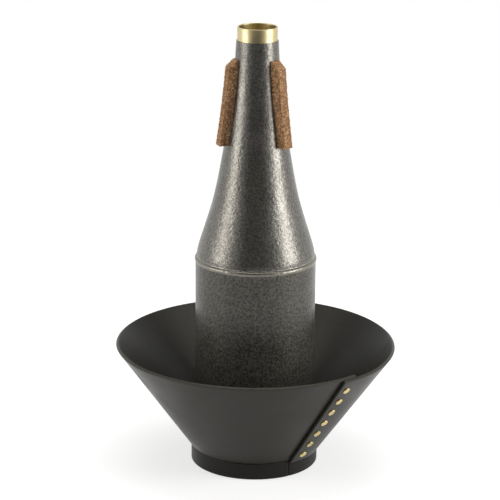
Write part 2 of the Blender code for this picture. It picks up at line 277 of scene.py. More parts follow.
# %% [markdown]
# The room is white for the camera, and white at the sides and the back for whatever reflects
# it. On the photographer's side a real studio is dark, and dark, glossy paint needs that: it
# is what gives the mute its deep middle between two bright flanks. So the world shows a dark
# front and a dimmer ceiling to glossy rays only, white to the camera, and a plain grey fill to
# diffuse light.

# %% Set up the room
FRONT_EDGE = math.radians(26.0)
FRONT_END = math.radians(64.0)
FRONT_LIGHT = 0.07
CEILING_START = 0.42
CEILING_END = 0.75
CEILING_LIGHT = 0.30
FILL_LIGHT = (0.34, 0.34, 0.34, 1.0)

world = bpy.data.worlds.new("studio_room")
bpy.context.scene.world = world
world.use_nodes = True
room = world.node_tree
room.nodes.clear()
direction = put(room, "ShaderNodeTexCoord").outputs["Generated"]
side, front, rise = put(room, "ShaderNodeSeparateXYZ", {0: direction}).outputs
bearing = calc(room, "ARCTAN2", calc(room, "ABSOLUTE", side), calc(room, "MULTIPLY", front, -1.0))
walls = ramp(room, bearing, FRONT_EDGE, FRONT_END, FRONT_LIGHT, 1.0)
ceiling = ramp(room, rise, CEILING_START, CEILING_END, 1.0, CEILING_LIGHT)
mirrored = calc(room, "MULTIPLY", walls, ceiling)
path = put(room, "ShaderNodeLightPath")
seen = calc(room, "MAXIMUM", path.outputs["Is Camera Ray"], path.outputs["Is Transmission Ray"])
inner = blend_colours(room, path.outputs["Is Glossy Ray"], FILL_LIGHT, mirrored)
outer = blend_colours(room, seen, inner, WHITE)
sky = put(room, "ShaderNodeBackground", {"Color": outer, "Strength": 1.0}).outputs[0]
put(room, "ShaderNodeOutputWorld", {"Surface": sky})
print("Room: dark front within %.0f degrees of the camera's side" % math.degrees(FRONT_EDGE))

# %% [markdown]
# Two tall strip boxes stand left and right of the mute, as its two long highlights show, the
# right one brighter. A large soft lamp overhead lights the floor and the cup's inside. A lamp's
# power follows from how bright its face is and how large it is.

# %% Place the lamps
def add_softbox(name, azimuth, distance, height, aim_height, width, length, brightness, colour):
    """A rectangular lamp at an azimuth (degrees) round the mute, aimed at a height on the axis."""
    lamp = bpy.data.lights.new(name, "AREA")
    lamp.shape = "RECTANGLE"
    lamp.size = width
    lamp.size_y = length
    lamp.energy = brightness * math.pi * width * length
    lamp.color = colour
    thing = bpy.data.objects.new(name, lamp)
    bpy.context.scene.collection.objects.link(thing)
    angle = math.radians(azimuth)
    thing.location = (distance * math.sin(angle), -distance * math.cos(angle), height)
    thing.visible_camera = False
    aim = Vector((0.0, 0.0, aim_height)) - thing.location
    thing.rotation_euler = aim.to_track_quat("-Z", "Y").to_euler()
    print("%s: %.2f W" % (name, lamp.energy))


STRIP = {"distance": 0.90, "height": 0.50, "aim_height": 0.50, "width": 0.40, "length": 0.80}
OVERHEAD = {"distance": 0.25, "height": 1.50, "aim_height": 0.0, "width": 1.10, "length": 1.10}
add_softbox("left_strip", azimuth=-74.0, brightness=4.2, colour=(1.0, 0.975, 0.93), **STRIP)
add_softbox("right_strip", azimuth=72.0, brightness=6.9, colour=(1.0, 0.99, 0.97), **STRIP)
add_softbox("top_lamp", azimuth=180.0, brightness=2.3, colour=(1.0, 1.0, 1.0), **OVERHEAD)

# %% [markdown]
# ## Effects that several finishes share
# Dark paint, cork and fibre all have a grain, brass and fibre both have fine lines round the
# axis, and every surface has been handled. Each effect is one node group with named inputs,
# so a material only sets its own sizes. A group gives masks, heights and values, never a shader.

# %% Grain
FLOAT_SOCKET = "NodeSocketFloat"
VECTOR_SOCKET = "NodeSocketVector"


def new_effect(name, inputs, outputs):
    """A shader group that takes a Vector and named numbers, and gives named numbers."""
    sockets = [("Vector", VECTOR_SOCKET, None)]
    sockets += [(label, FLOAT_SOCKET, value) for label, value in inputs.items()]
    return new_group(name, "ShaderNodeTree", sockets, [(label, FLOAT_SOCKET) for label in outputs])


def make_grain_group():
    """Rounded pebbles of one size, with finer grain between them."""
    group, take, give = new_effect("pebble_grain", {"Size": 0.001, "Seed": 0.0}, ["Height", "Mask"])
    scale = calc(group, "DIVIDE", 1.0, take["Size"])
    inputs = {"Vector": take["Vector"], "W": take["Seed"], "Scale": scale, "Detail": 2.0, "Roughness": 0.6}
    soft = put(group, "ShaderNodeTexNoise", inputs, noise_dimensions="4D").outputs[0]
    cells = {"Vector": take["Vector"], "Scale": calc(group, "MULTIPLY", scale, 0.8)}
    pebble = put(group, "ShaderNodeTexVoronoi", cells, feature="SMOOTH_F1").outputs["Distance"]
    height = calc(group, "ADD", calc(group, "MULTIPLY", soft, 0.65), calc(group, "MULTIPLY", pebble, 0.35))
    group.links.new(height, give["Height"])
    group.links.new(ramp(group, soft, 0.36, 0.64), give["Mask"])
    return group


grain_group = make_grain_group()
print("Group:", grain_group.name, [item.name for item in grain_group.interface.items_tree])

# %% Lines round the axis
def make_lines_group():
    """Fine lines round the Z axis, as a lathe or a rolling mill leaves them."""
    numbers = {"Pitch": 0.0005, "Waver": 0.1}
    group, take, give = new_effect("lines_round_axis", numbers, ["Height", "Mask"])
    height = put(group, "ShaderNodeSeparateXYZ", {0: take["Vector"]}).outputs[2]
    drift = put(group, "ShaderNodeTexNoise", {"Vector": take["Vector"], "Scale": 40.0, "Detail": 1.0})
    shift = calc(group, "MULTIPLY", calc(group, "MULTIPLY", drift.outputs[0], take["Waver"]), 0.01)
    place = calc(group, "DIVIDE", calc(group, "ADD", height, shift), take["Pitch"])
    lines = {"W": place, "Scale": 1.0, "Detail": 3.0, "Roughness": 0.7}
    drawn = put(group, "ShaderNodeTexNoise", lines, noise_dimensions="1D").outputs[0]
    group.links.new(drawn, give["Height"])
    group.links.new(ramp(group, drawn, 0.35, 0.65), give["Mask"])
    return group


lines_group = make_lines_group()
print("Group:", lines_group.name)

# %% Handling marks
def make_handling_group():
    """Patches where hands and cloths have made a surface a little duller or brighter."""
    numbers = {"Size": 0.02, "Dull": 0.5, "Bright": 0.3}
    group, take, give = new_effect("handling_marks", numbers, ["Roughness", "Mask"])
    scale = calc(group, "DIVIDE", 1.0, take["Size"])
    inputs = {"Vector": take["Vector"], "Scale": scale, "Detail": 4.0, "Roughness": 0.55, "Distortion": 0.4}
    patches = put(group, "ShaderNodeTexNoise", inputs).outputs[0]
    mask = ramp(group, patches, 0.32, 0.68)
    spread = calc(group, "SUBTRACT", take["Dull"], take["Bright"])
    group.links.new(calc(group, "MULTIPLY_ADD", mask, spread, take["Bright"]), give["Roughness"])
    group.links.new(mask, give["Mask"])
    return group


handling_group = make_handling_group()
print("Group:", handling_group.name)

# %% Rubbed edges and the lip's painted highlight
EDGE_ATTRIBUTE = "edge"


def make_edge_group():
    """Wear along edges, and the painted highlight on the sleeve's lip: how near an edge a point is, broken up
    by grain.
    """
    group, take, give = new_effect("rubbed_edge_and_highlight", {"Edge": 0.0, "Size": 0.002, "Amount": 0.5}, ["Mask"])
    scale = calc(group, "DIVIDE", 1.0, take["Size"])
    patches = put(group, "ShaderNodeTexNoise", {"Vector": take["Vector"], "Scale": scale, "Detail": 3.0})
    edge_marked = calc(group, "ADD", take["Edge"], calc(group, "SUBTRACT", patches.outputs[0], 0.9))
    mask = calc(group, "MULTIPLY", ramp(group, edge_marked, 0.0, 0.5), take["Amount"])
    group.links.new(mask, give["Mask"])
    return group


edge_group = make_edge_group()


def stored(tree, name):
    """A number that is stored on the piece's points. Gives the output socket."""
    return put(tree, "ShaderNodeAttribute", attribute_name=name).outputs["Fac"]


def wear_and_highlight_mask(tree, place, size, amount):
    """Wear along the piece's edges, and the painted highlight on the lip, in patches of a size in metres.
    Gives the output socket.
    """
    edge = stored(tree, EDGE_ATTRIBUTE)
    return use_group(tree, edge_group, place, Edge=edge, Size=size, Amount=amount)["Mask"]


def scaled(colour, factor):
    """A colour made lighter by a factor."""
    return tuple(min(1.0, channel * factor) for channel in colour[:3]) + (1.0,)


print("Group:", edge_group.name)

# %% [markdown]
# ## Finishes
# The body is sprayed with a dark grey paint that dries in fine pebbles and holds metal powder,
# so it is nearly black head on and pale where light grazes it. The sleeve and the end plate get
# a darker, less metallic copy of the same paint: that darkness is painted shade. A second,
# slower relief lies in the mesh itself.

# %% Pebbled paint
def make_paint(name, dark, pale, metal, bright, dull, pebble, depth):
    """Dark grey paint with metal powder in it, and pebbles of a size and a depth in metres."""
    material, tree, shader, place = new_material(name)
    grain = use_group(tree, grain_group, place, Size=pebble, Seed=3.0)
    fine = use_group(tree, grain_group, place, Size=pebble * 0.7, Seed=8.0)
    handled = use_group(tree, handling_group, place, Size=0.018, Dull=dull, Bright=bright)
    edge_marked = wear_and_highlight_mask(tree, place, size=0.0025, amount=0.8)
    speck = calc(tree, "MULTIPLY", fine["Mask"], 0.9)
    skin = blend_colours(tree, speck, dark, pale)
    # Paler, more metallic paint where the edge mark is set: wear on the edges, and a painted highlight on the
    # sleeve's lip.
    rubbed_and_highlight = scaled(pale, 2.2)
    looks = {
        "Base Color": blend_colours(tree, edge_marked, skin, rubbed_and_highlight),
        "Roughness": handled["Roughness"],
        "Metallic": calc(tree, "MULTIPLY_ADD", edge_marked, 1.0 - metal, metal),
        "IOR": 1.5,
    }
    fill(tree, shader, looks)
    roughen(tree, shader, calc(tree, "MULTIPLY_ADD", fine["Height"], 0.4, grain["Height"]), depth)
    return material


cone_paint = make_paint(
    "cone_paint",
    dark=(0.108, 0.102, 0.090, 1.0),
    pale=(0.208, 0.199, 0.181, 1.0),
    metal=0.82,
    bright=0.27,
    dull=0.35,
    pebble=0.0019,
    depth=0.00023,
)
# A darker, less metallic copy of cone_paint for the sleeve and the end plate: painted shade.
sleeve_paint = make_paint(
    "sleeve_paint",
    dark=(0.036, 0.034, 0.029, 1.0),
    pale=(0.118, 0.111, 0.095, 1.0),
    metal=0.30,
    bright=0.29,
    dull=0.39,
    pebble=0.0019,
    depth=0.00028,
)
print("Paint:", cone_paint.name, "and", sleeve_paint.name)

# %% [markdown]
# The throat ring is thin brass tube, turned and polished, with fine lines left by the lathe and
# a little tarnish. The rivets are brass too, darker and more tarnished, with fainter lines.

# %% Brass
def make_brass(name, clean, tarnished, bright, dull, line_depth, amount):
    """Brass with lathe lines of a depth in metres and an amount of tarnish in patches."""
    material, tree, shader, place = new_material(name)
    lines = use_group(tree, lines_group, place, Pitch=0.00035, Waver=0.02)
    handled = use_group(tree, handling_group, place, Size=0.006, Dull=dull, Bright=bright)
    stain = calc(tree, "MULTIPLY", handled["Mask"], amount)
    patchy = blend_colours(tree, stain, clean, tarnished)
    colour = blend_colours(tree, wear_and_highlight_mask(tree, place, size=0.002, amount=0.8), patchy, clean)
    fill(tree, shader, {"Base Color": colour, "Roughness": handled["Roughness"], "Metallic": 1.0})
    roughen(tree, shader, lines["Height"], line_depth)
    return material


ring_brass = make_brass(
    "ring_brass",
    clean=(0.65, 0.56, 0.32, 1.0),
    tarnished=(0.46, 0.37, 0.18, 1.0),
    bright=0.30,
    dull=0.40,
    line_depth=0.000005,
    amount=0.5,
)
rivet_brass = make_brass(
    "rivet_brass",
    clean=(0.70, 0.56, 0.25, 1.0),
    tarnished=(0.48, 0.36, 0.14, 1.0),
    bright=0.22,
    dull=0.34,
    line_depth=0.000002,
    amount=0.7,
)
print("Brass:", ring_brass.name, "and", rivet_brass.name)

# %% [markdown]
# The strips are agglomerated cork: crushed granules pressed together, each of its own brown,
# with crevices between them. The mesh carries two attributes, a tone for each granule and how
# near a crevice a point lies, so colour and relief belong to the same granules. Near a crevice
# the colour is darkened too, which is painted shade.

# %% Cork
TONE_ATTRIBUTE = "granule_tone"
CREVICE_ATTRIBUTE = "crevice"
DARK_GRANULE = (0.30, 0.15, 0.060, 1.0)
PALE_GRANULE = (0.74, 0.47, 0.26, 1.0)
CORK_DUST = (0.24, 0.11, 0.045, 1.0)
CREVICE_PAINTED_SHADE = (0.10, 0.042, 0.018, 1.0)


def make_cork():
    """Granulated cork, coloured from the tone and crevice attributes of its mesh, with painted shade in the
    crevices.
    """
    material, tree, shader, place = new_material("granulated_cork")
    tone = stored(tree, TONE_ATTRIBUTE)
    dust = use_group(tree, grain_group, place, Size=0.0007, Seed=5.0)
    granules = blend_colours(tree, tone, DARK_GRANULE, PALE_GRANULE)
    speckled = blend_colours(tree, calc(tree, "MULTIPLY", dust["Mask"], 0.5), granules, CORK_DUST)
    # Painted shade: the colour darkens towards each crevice.
    painted_crevice_shade = calc(tree, "MULTIPLY", stored(tree, CREVICE_ATTRIBUTE), 0.75)
    looks = {
        "Base Color": blend_colours(tree, painted_crevice_shade, speckled, CREVICE_PAINTED_SHADE),
        "Roughness": ramp(tree, tone, 0.0, 1.0, 0.92, 0.78),
        "Specular IOR Level": 0.25,
    }
    fill(tree, shader, looks)
    roughen(tree, shader, dust["Height"], 0.00030)
    return material


cork = make_cork()
print("Cork:", cork.name)

# %% [markdown]
# The cup and its collar are vulcanised fibre, black right through and calendered, which leaves
# faint lines round the sheet and a satin face. Its cut edges are slightly paler. The collar takes
# a darker copy of the cup's fibre, which is painted shade under the cup.

# %% Fibre sheet
def make_fibre(name, colour, bright, dull):
    """Black fibre sheet with faint rolling lines and a satin face."""
    material, tree, shader, place = new_material(name)
    lines = use_group(tree, lines_group, place, Pitch=0.0011, Waver=0.3)
    grain = use_group(tree, grain_group, place, Size=0.0007, Seed=1.0)
    handled = use_group(tree, handling_group, place, Size=0.03, Dull=dull, Bright=bright)
    edge_marked = wear_and_highlight_mask(tree, place, size=0.003, amount=0.6)
    lighter = scaled(colour, 1.25)
    cut = scaled(colour, 1.9)
    banded = blend_colours(tree, calc(tree, "MULTIPLY", lines["Mask"], 0.6), colour, lighter)
    looks = {
        "Base Color": blend_colours(tree, edge_marked, banded, cut),
        "Roughness": handled["Roughness"],
        "Specular IOR Level": 0.17,
    }
    fill(tree, shader, looks)
    roughen(tree, shader, calc(tree, "MULTIPLY_ADD", lines["Height"], 0.5, grain["Height"]), 0.000012)
    return material


cup_fibre = make_fibre("cup_fibre", colour=(0.0285, 0.0270, 0.0220, 1.0), bright=0.32, dull=0.42)
# The collar's fibre is the cup's with a darker colour: painted shade under the cup.
collar_fibre = make_fibre("collar_fibre", colour=(0.0105, 0.0100, 0.0082, 1.0), bright=0.42, dull=0.52)
print("Fibre:", cup_fibre.name, "and", collar_fibre.name)

# %% [markdown]
# The lining that grips the sleeve is dark wool felt. It shows only from below and through the
# collar's joint, as a dull, mottled band.

# %% Felt
DARK_WOOL = (0.016, 0.015, 0.014, 1.0)
PALE_WOOL = (0.050, 0.047, 0.043, 1.0)


def make_felt():
    """Dark wool felt: mottled, nearly fully rough, with a faint fuzz at grazing angles."""
    material, tree, shader, place = new_material("grip_felt")
    wool = use_group(tree, grain_group, place, Size=0.0009, Seed=2.0)
    looks = {
        "Base Color": blend_colours(tree, wool["Mask"], DARK_WOOL, PALE_WOOL),
        "Roughness": 0.95,
        "Sheen Weight": 0.3,
        "Sheen Roughness": 0.5,
    }
    fill(tree, shader, looks)
    roughen(tree, shader, wool["Height"], 0.0002)
    return material


felt = make_felt()
print("Felt:", felt.name)

# %% [markdown]
# ## Mesh helpers
# Most of the mute is turned, so one helper spins a profile into a closed mesh. The others run
# a geometry tree on a piece, make the result a plain mesh, and mark how near an edge each
# point lies, which the finishes read as the attribute called edge.

# %% Helpers for meshes
AXIS = 0.000001


def new_piece(name):
    """An empty mesh object at the origin."""
    thing = bpy.data.objects.new(name, bpy.data.meshes.new(name))
    bpy.context.scene.collection.objects.link(thing)
    return thing


def turned(name, profile, steps):
    """Spin a closed (radius, height) profile about Z. It runs down the outer side first, and a
    point on the axis has the radius AXIS, so that its ring merges into one point."""
    angles = np.arange(steps) * (2.0 * math.pi / steps)
    rings = np.array(profile)
    across = np.stack([np.sin(angles), -np.cos(angles)], axis=1)
    points = np.empty((len(rings), steps, 3))
    points[:, :, :2] = rings[:, None, :1] * across[None]
    points[:, :, 2] = rings[:, 1:]
    faces = []
    for row in range(len(rings)):
        here = row * steps
        below = (row + 1) % len(rings) * steps
        for step in range(steps):
            after = (step + 1) % steps
            faces.append((here + step, below + step, below + after, here + after))
    thing = new_piece(name)
    thing.data.from_pydata(points.reshape(-1, 3).tolist(), [], faces)
    shape = bmesh.new()
    shape.from_mesh(thing.data)
    bmesh.ops.remove_doubles(shape, verts=shape.verts, dist=AXIS)
    shape.to_mesh(thing.data)
    shape.free()
    return thing


def smooth_line(points, spacing):
    """A smooth line through points in the profile plane, with a point about every spacing."""
    knots = np.array(points, float)
    reach = np.concatenate([[0.0], np.cumsum(np.linalg.norm(np.diff(knots, axis=0), axis=1))])
    slopes = np.gradient(knots, reach, axis=0)
    places = np.linspace(0.0, reach[-1], max(2, round(reach[-1] / spacing) + 1))
    index = np.clip(np.searchsorted(reach, places, side="right") - 1, 0, len(knots) - 2)
    step = reach[index + 1] - reach[index]
    share = ((places - reach[index]) / step)[:, None]
    step = step[:, None]
    square = share * share
    cube = square * share
    line = (2.0 * cube - 3.0 * square + 1.0) * knots[index]
    line += (cube - 2.0 * square + share) * step * slopes[index]
    line += (3.0 * square - 2.0 * cube) * knots[index + 1]
    line += (cube - square) * step * slopes[index + 1]
    return [tuple(point) for point in line]


def arc(centre, radius, start, end, steps):
    """Points on an arc in the profile plane. Angles in degrees, 0 outwards and 90 up."""
    angles = np.radians(np.linspace(start, end, steps + 1))
    return [(centre[0] + radius * math.cos(a), centre[1] + radius * math.sin(a)) for a in angles]


def run_tree(thing, tree, values):
    """Give a piece a geometry tree, with each input set by its socket's identifier."""
    modifier = thing.modifiers.new(tree.name, "NODES")
    modifier.node_group = tree
    for item in tree.interface.items_tree:
        if item.item_type == "SOCKET" and item.in_out == "INPUT" and item.name in values:
            modifier[item.identifier] = values[item.name]


def settle(thing):
    """Make what a piece's modifiers show its own plain mesh, and remove them."""
    graph = bpy.context.evaluated_depsgraph_get()
    mesh = bpy.data.meshes.new_from_object(thing.evaluated_get(graph))
    thing.modifiers.clear()
    thing.data = mesh
    return thing


def finish_mesh(thing, material, smooth_angle=40.0, edge_reach=0.0015, edge_angle=35.0):
    """Shade a piece smooth, set its material, and mark how near a sharp edge each point lies."""
    mesh = thing.data
    mesh.materials.clear()
    mesh.materials.append(material)
    shape = bmesh.new()
    shape.from_mesh(mesh)
    limit = math.radians(edge_angle)
    sharp = {v.index for e in shape.edges if e.calc_face_angle(0.0) > limit for v in e.verts}
    tree = kdtree.KDTree(len(sharp))
    for index, vertex in enumerate(sorted(sharp)):
        tree.insert(mesh.vertices[vertex].co, index)
    tree.balance()
    marks = np.zeros(len(mesh.vertices), np.float32)
    if sharp:
        for vertex in mesh.vertices:
            marks[vertex.index] = max(0.0, 1.0 - tree.find(vertex.co)[2] / edge_reach)
    shape.free()
    attribute = mesh.attributes.new(EDGE_ATTRIBUTE, "FLOAT", "POINT")
    attribute.data.foreach_set("value", marks)
    mesh.shade_smooth()
    mesh.set_sharp_from_angle(angle=math.radians(smooth_angle))
    triangles = sum(len(face.vertices) - 2 for face in mesh.polygons)
    print("%s: %d triangles, %d points on sharp edges" % (thing.name, triangles, len(sharp)))
    return thing


# %% [markdown]
# ## Paint relief
# Sprayed paint is never quite even: besides the fine pebbles there is a slow swell in it, which
# bends the long highlights. That swell is a geometry tree, which moves each point along its
# normal by a seeded noise, so one tree serves every painted piece, the brass ring and the felt.
# Every geometry tree here starts and ends in the same way, so two helpers do that, and a third
# moves points along their normals.

# %% Start, end and move in a geometry tree
GEOMETRY_SOCKET = "NodeSocketGeometry"
COUNT_SOCKET = "NodeSocketInt"


def new_shape_tree(name, inputs):
    """A geometry tree whose inputs are the piece's mesh, its own values and the material."""
    sockets = [("Geometry", GEOMETRY_SOCKET, None)] + inputs + [("Material", "NodeSocketMaterial", None)]
    return new_group(name, "GeometryNodeTree", sockets, [("Geometry", GEOMETRY_SOCKET)])


def end_tree(tree, take, give, shape):
    """End a geometry tree with real faces that have the piece's material."""
    real = put(tree, "GeometryNodeRealizeInstances", {"Geometry": shape}).outputs[0]
    dressed = put(tree, "GeometryNodeSetMaterial", {"Geometry": real, "Material": take["Material"]})
    tree.links.new(dressed.outputs[0], give["Geometry"])
    print("Tree:", tree.name, "with", len(tree.nodes), "nodes")


def push_out(tree, shape, amount):
    """Move each point along its normal by an amount. Gives the moved shape's socket."""
    normal = put(tree, "GeometryNodeInputNormal").outputs[0]
    offset = put(tree, "ShaderNodeVectorMath", {0: normal, "Scale": amount}, operation="SCALE").outputs[0]
    return put(tree, "GeometryNodeSetPosition", {"Geometry": shape, "Offset": offset}).outputs[0]


# %% Geometry tree for a swell
def make_swell_tree():
    """Geometry tree that moves points along their normals by noise of a size and a depth."""
    inputs = [("Size", FLOAT_SOCKET, 0.004), ("Depth", FLOAT_SOCKET, 0.00005), ("Seed", FLOAT_SOCKET, 0.0)]
    tree, take, give = new_shape_tree("slow_swell", inputs)
    place = put(tree, "GeometryNodeInputPosition").outputs[0]
    scale = calc(tree, "DIVIDE", 1.0, take["Size"])
    settings = {"Vector": place, "W": take["Seed"], "Scale": scale, "Detail": 1.0, "Roughness": 0.5}
    swell = put(tree, "ShaderNodeTexNoise", settings, noise_dimensions="4D").outputs[0]
    amount = calc(tree, "MULTIPLY", calc(tree, "SUBTRACT", swell, 0.5), take["Depth"])
    end_tree(tree, take, give, push_out(tree, take["Geometry"], amount))
    return tree


swell_tree = make_swell_tree()


def dress(thing, material, size, depth, seed, **marks):
    """Swell a turned piece, make it a plain mesh and finish it. marks go to finish_mesh."""
    run_tree(thing, swell_tree, {"Size": size, "Depth": depth, "Seed": seed, "Material": material})
    finish_mesh(settle(thing), material, **marks)


# %% [markdown]
# ## The cone
# The real cone is spun from thin sheet metal and painted. A smooth line through the CAD
# node's own rows gives its outer side. The inner side is one wall further in, the neck's edge
# is rounded, and the shoulder turns in to a short skirt that is glued inside the sleeve.

# %% Turn the cone
FINE_STEPS = 288
SHELL_WALL = 0.0010
NECK_ROUND = 0.00025
SKIRT_SHOWN = 0.0040
SKIRT_GAP = 0.0003
TUCK_HEIGHT = 0.0002
ROW_SPACING = 0.0011
SLOW_SWELL = 0.0045
PAINT_DEPTH = 0.00010
PAINT_EDGE = 0.0008

outer_side = smooth_line(cone_rows, ROW_SPACING)
skirt_radius = SLEEVE_BORE - SKIRT_GAP
neck_round = arc((NECK_RADIUS - NECK_ROUND, CONE_TOP - NECK_ROUND), NECK_ROUND, 90.0, 0.0, 3)
shoulder_tuck = [(skirt_radius, SLEEVE_TOP + TUCK_HEIGHT), (skirt_radius, SLEEVE_TOP - SKIRT_SHOWN)]
inner_side = [(radius - SHELL_WALL, height) for radius, height in reversed(outer_side[2::3])]
cone_profile = neck_round + outer_side[1:] + shoulder_tuck
cone_profile.append((skirt_radius - SHELL_WALL, SLEEVE_TOP - SKIRT_SHOWN))
cone_profile += inner_side + [(NECK_RADIUS - SHELL_WALL, CONE_TOP)]

cone_shell = turned("cone_shell", cone_profile, FINE_STEPS)
dress(cone_shell, cone_paint, SLOW_SWELL, PAINT_DEPTH, seed=1.0, edge_reach=PAINT_EDGE)
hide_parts("body_cone")
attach(cone_shell, "mute_body")

# %% [markdown]
# ## The sleeve
# The sleeve is a straight tube whose top was rolled over the cone's skirt and then painted, so
# its lip is soft and a little uneven all the way round. The tube is turned first, and then a
# seeded noise that depends only on the azimuth pushes the lip up, down, in and out. Its outer
# side is then marked in the edge attribute, so that its paint turns pale and metallic there: a
# painted highlight along the lip.

# %% Turn the sleeve
LIP_ROUND = 0.0016
LIP_DEPTH = 0.0038
LIP_PROUD = 0.0005
LIP_RISE = 0.0006
LIP_SPACING = 0.0004
# Edge mark set on the lip's outer side: a painted highlight.
LIP_PAINTED_HIGHLIGHT = 0.95
LIP_HIGHLIGHT_DEPTH = LIP_DEPTH * 0.6
LIP_WANDER = 0.00022
LIP_WANDER_DEPTH = LIP_DEPTH * 1.5
LIP_WIDTH = 0.001
BORE_SKIN = 0.0001
SLOW_WAVES = 9.0
QUICK_WAVES = 34.0
FOOT_ROUND = 0.0004

bead_radius = SLEEVE_RADIUS + LIP_PROUD
bead_middle = SLEEVE_TOP + LIP_RISE - LIP_ROUND
lip_arc = arc((bead_radius - LIP_ROUND, bead_middle), LIP_ROUND, 90.0, 0.0, 8)
bead_side = [
    (bead_radius, bead_middle),
    (SLEEVE_RADIUS + LIP_PROUD * 0.3, SLEEVE_TOP - LIP_DEPTH * 0.7),
    (SLEEVE_RADIUS, SLEEVE_TOP - LIP_DEPTH),
]
straight = smooth_line([bead_side[-1], (SLEEVE_RADIUS, FOOT_ROUND)], ROW_SPACING)
sleeve_profile = [(SLEEVE_BORE, SLEEVE_TOP)] + lip_arc
sleeve_profile += smooth_line(bead_side, LIP_SPACING)[1:] + straight[1:-1]
sleeve_profile += arc((SLEEVE_RADIUS - FOOT_ROUND, FOOT_ROUND), FOOT_ROUND, 0.0, -90.0, 4)
sleeve_profile += [(SLEEVE_BORE, SLEEVE_TOP * share) for share in (0.0, 0.33, 0.67)]

sleeve_tube = turned("sleeve_tube", sleeve_profile, FINE_STEPS)
for vertex in sleeve_tube.data.vertices:
    near_lip = 1.0 - min(1.0, max(0.0, (SLEEVE_TOP - vertex.co.z) / LIP_WANDER_DEPTH))
    if near_lip > 0.0 and vertex.co.xy.length > SLEEVE_BORE + BORE_SKIN:
        around = Vector((vertex.co.x, vertex.co.y, 0.0)).normalized()
        slow = noise.noise(around * SLOW_WAVES + Vector((0.0, 0.0, 2.0)))
        quick = noise.noise(around * QUICK_WAVES + Vector((0.0, 0.0, 7.0)))
        vertex.co.z += (0.6 * slow + 0.6 * quick) * LIP_WANDER * near_lip
        vertex.co += around * (0.5 * quick - 0.3 * slow) * LIP_WANDER * near_lip
dress(sleeve_tube, sleeve_paint, SLOW_SWELL, PAINT_DEPTH, seed=4.0, smooth_angle=60.0, edge_reach=PAINT_EDGE)
edge_marks = sleeve_tube.data.attributes[EDGE_ATTRIBUTE].data
# Mark the lip's outer side in the edge attribute, so its paint turns pale and metallic there: a painted
# highlight.
for vertex in sleeve_tube.data.vertices:
    if vertex.co.z > SLEEVE_TOP - LIP_HIGHLIGHT_DEPTH and vertex.co.xy.length > SLEEVE_RADIUS - LIP_WIDTH:
        edge_marks[vertex.index].value = LIP_PAINTED_HIGHLIGHT
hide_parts("body_sleeve")
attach(sleeve_tube, "mute_body")

# %% [markdown]
# ## The end plate
# A pressed plate closes the wide end from inside, with its rim standing up in the sleeve. It
# shows from below, so its corner is a real curve and not a facet. Its underside stands a
# tenth of a millimetre off the floor, so that its swell never dips through it.

# %% Turn the end plate
PLATE_WALL = 0.0012
PLATE_CORNER = 0.0014
PLATE_LIFT = 0.0001
plate_radius, _, plate_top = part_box("base_plate")[1]
inner_corner = PLATE_CORNER - PLATE_WALL / 2.0
plate_bore = plate_radius - PLATE_WALL
flat_radius = plate_bore - inner_corner
plate_profile = [(AXIS, PLATE_WALL), (flat_radius, PLATE_WALL)]
plate_profile += arc((flat_radius, PLATE_WALL + inner_corner), inner_corner, -90.0, 0.0, 6)[1:]
plate_profile += [(plate_bore, plate_top), (plate_radius, plate_top)]
plate_profile += arc((plate_radius - PLATE_CORNER, PLATE_CORNER + PLATE_LIFT), PLATE_CORNER, 0.0, -90.0, 8)
plate_profile += [(plate_radius * share, PLATE_LIFT) for share in np.linspace(0.9, 0.1, 17)]
plate_profile.append((AXIS, PLATE_LIFT))

end_plate = turned("end_plate", plate_profile, FINE_STEPS // 2)
dress(end_plate, sleeve_paint, size=0.012, depth=PAINT_DEPTH, seed=6.0, edge_reach=0.0010)
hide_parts("base_plate")
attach(end_plate, "mute_body")

# %% [markdown]
# ## The throat ring
# The ring is plain brass tube with a full, soft rim. Below the neck's edge it steps in and
# plugs into the cone, which hides the joint. Its rim is what catches the light, so the round
# is cut fine.

# %% Turn the throat ring
RING_WALL = 0.0010
RIM_ROUND = 0.00048
RIM_STEPS = 8
RING_STEPS = 192
PLUG_GAP = 0.0001
ring_low, ring_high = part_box("throat_ring")
ring_radius = ring_high.x
ring_bore = ring_radius - RING_WALL
rim_height = ring_high.z - RIM_ROUND
plug_radius = NECK_RADIUS - SHELL_WALL - PLUG_GAP
plug_bore = plug_radius - RING_WALL
ring_profile = arc((ring_bore + RIM_ROUND, rim_height), RIM_ROUND, 180.0, 90.0, RIM_STEPS)
ring_profile += arc((ring_radius - RIM_ROUND, rim_height), RIM_ROUND, 90.0, 0.0, RIM_STEPS)
ring_profile += smooth_line([(ring_radius, ring_high.z - 0.0006), (ring_radius, CONE_TOP)], 0.0008)
ring_profile += [(plug_radius, CONE_TOP), (plug_radius, ring_low.z), (plug_bore, ring_low.z)]
ring_profile += [(plug_bore, CONE_TOP + RING_WALL), (ring_bore, CONE_TOP + 2.0 * RING_WALL)]
ring_profile += smooth_line([(ring_bore, CONE_TOP + 0.0025), (ring_bore, ring_high.z - 0.0008)], 0.0010)

throat_tube = turned("throat_tube", ring_profile, RING_STEPS)
dress(throat_tube, ring_brass, size=0.006, depth=0.00004, seed=9.0, edge_reach=0.0006)
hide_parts("throat_ring")
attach(throat_tube, "mute_body")

# %% [markdown]
# ## The cork strips
# Each strip is cut from cork sheet and glued along the neck, with its top end chamfered so that
# it slides into the bell. A box of small faces is bent into that shape: its back follows the
# cone, its outer side stands one thickness off it. Then a geometry tree breaks the skin into
# granules, and stores each granule's tone and the crevices for the finish to read.

